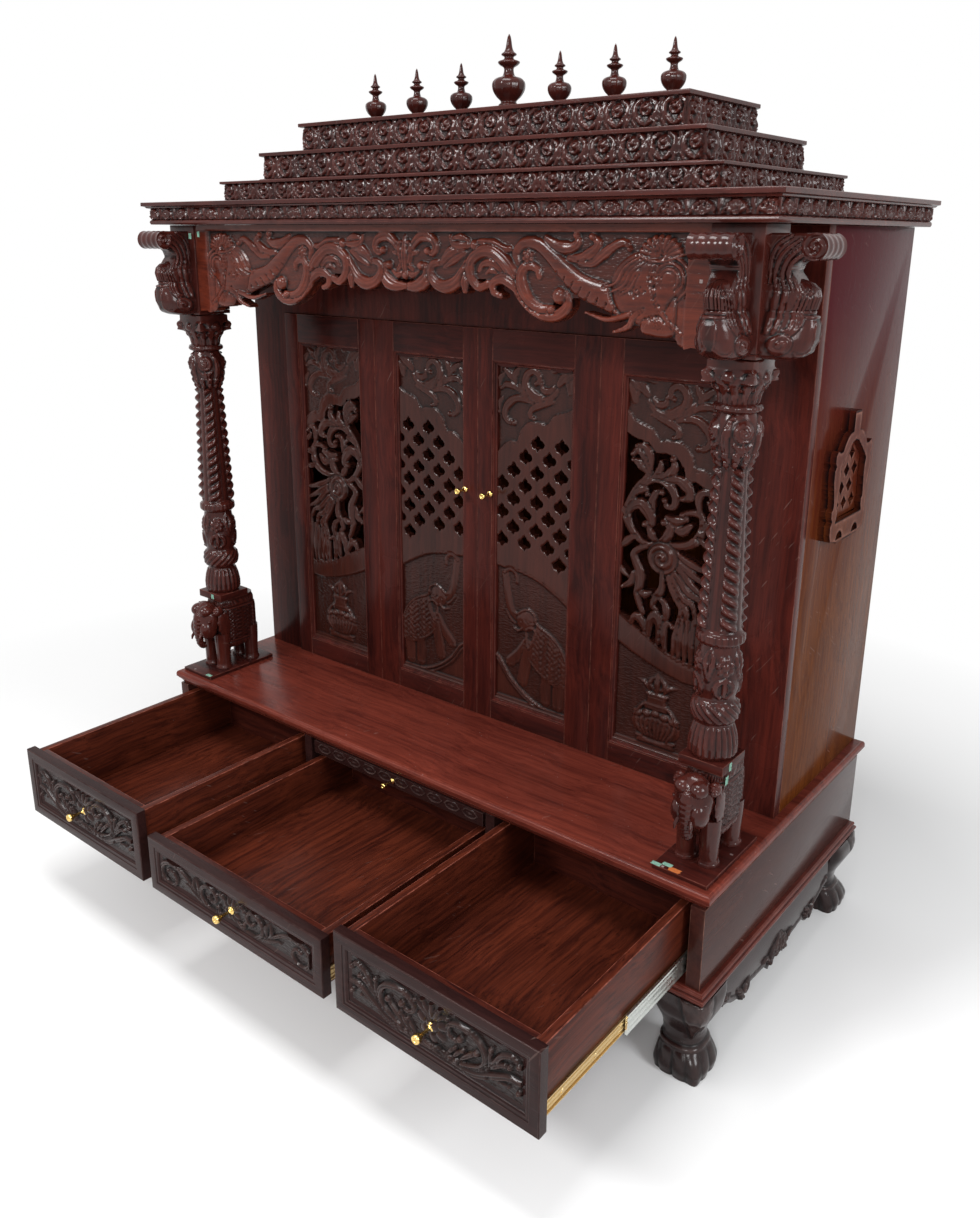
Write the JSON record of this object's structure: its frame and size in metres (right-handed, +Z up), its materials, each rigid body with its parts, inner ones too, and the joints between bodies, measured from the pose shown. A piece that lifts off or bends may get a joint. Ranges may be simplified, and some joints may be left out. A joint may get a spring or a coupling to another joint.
{
  "type": "home shrine cabinet",
  "caption": "Carved dark wood home shrine: stepped roof with finials, columned porch, pierced folding doors, drawers pulled out below, cabriole feet.",
  "frame": {"origin": "middle of the bounding box on the floor, with the three drawers pulled out as pictured", "axes": "+X to the right as one faces the doors, -Y out of the front, +Z up"},
  "size_m": [1.631, 1.193, 1.844],
  "materials": {
    "mahogany_board": "polished red-brown mahogany boards",
    "mahogany_carved": "lacquered dark carved mahogany",
    "mahogany_dark": "near-black stained mahogany",
    "drawer_wood": "satin red drawer wood",
    "brass": "polished",
    "zinc_steel": "zinc plated"
  },
  "bodies": {
    "cabinet": {"base_top": "mahogany_board", "base_bottom": "mahogany_board", "cab_side_r": "mahogany_board", "cab_side_l": "mahogany_board", "window_r": "mahogany_board", "window_l": "mahogany_board", "base_side_r": "mahogany_board", "base_side_l": "mahogany_board", "base_back": "mahogany_board", "divider_r": "mahogany_board", "divider_l": "mahogany_board", "cab_back": "mahogany_board", "cab_front": "mahogany_board", "leaf_1": "mahogany_board", "leaf_2": "mahogany_board", "leaf_3": "mahogany_board", "leaf_4": "mahogany_board", "column_r": "mahogany_carved", "column_l": "mahogany_carved", "elephant_r": "mahogany_carved", "elephant_l": "mahogany_carved", "post_r": "mahogany_carved", "post_l": "mahogany_carved", "fascia": "mahogany_carved", "cornice": "mahogany_carved", "tier_1": "mahogany_carved", "tier_2": "mahogany_carved", "tier_3": "mahogany_carved", "apron_front": "mahogany_dark", "apron_r": "mahogany_dark", "apron_l": "mahogany_dark", "foot_fr": "mahogany_dark", "foot_fl": "mahogany_dark", "foot_br": "mahogany_dark", "foot_bl": "mahogany_dark", "knob_leaf_2": "brass", "knob_leaf_3": "brass"},
    "drawer_l": {"drawer_front_l": "mahogany_dark", "drawer_box_l": "drawer_wood", "knob_l": "brass"},
    "drawer_c": {"drawer_front_c": "mahogany_dark", "drawer_box_c": "drawer_wood", "knob_c": "brass"},
    "drawer_r": {"drawer_front_r": "mahogany_dark", "drawer_box_r": "drawer_wood", "knob_r": "brass"},
    "tray": {"tray": "mahogany_dark", "knob_tray": "brass"},
    "slides_l": {"slide_l_out": "zinc_steel", "slide_l_in": "zinc_steel"},
    "slides_c": {"slide_c_l": "zinc_steel", "slide_c_r": "zinc_steel"},
    "slides_r": {"slide_r_in": "zinc_steel", "slide_r_out": "zinc_steel"}
  },
  "joints": [
    {"name": "drawer_l_slide", "type": "slide", "parent": "cabinet", "child": "drawer_l", "axis": [0, -1, 0], "range_m": [-0.432, 0.016]},
    {"name": "slides_l_run", "type": "slide", "parent": "cabinet", "child": "slides_l", "axis": [0, -1, 0], "range_m": [-0.216, 0.008]},
    {"name": "drawer_c_slide", "type": "slide", "parent": "cabinet", "child": "drawer_c", "axis": [0, -1, 0], "range_m": [-0.432, 0.016]},
    {"name": "slides_c_run", "type": "slide", "parent": "cabinet", "child": "slides_c", "axis": [0, -1, 0], "range_m": [-0.216, 0.008]},
    {"name": "drawer_r_slide", "type": "slide", "parent": "cabinet", "child": "drawer_r", "axis": [0, -1, 0], "range_m": [-0.432, 0.016]},
    {"name": "slides_r_run", "type": "slide", "parent": "cabinet", "child": "slides_r", "axis": [0, -1, 0], "range_m": [-0.216, 0.008]},
    {"name": "tray_slide", "type": "slide", "parent": "cabinet", "child": "tray", "axis": [0, -1, 0], "range_m": [0, 0.3]}
  ],
  "couplings": [
    {"joint": "slides_l_run", "follows": "drawer_l_slide", "ratio": 0.5},
    {"joint": "slides_c_run", "follows": "drawer_c_slide", "ratio": 0.5},
    {"joint": "slides_r_run", "follows": "drawer_r_slide", "ratio": 0.5}
  ]
}
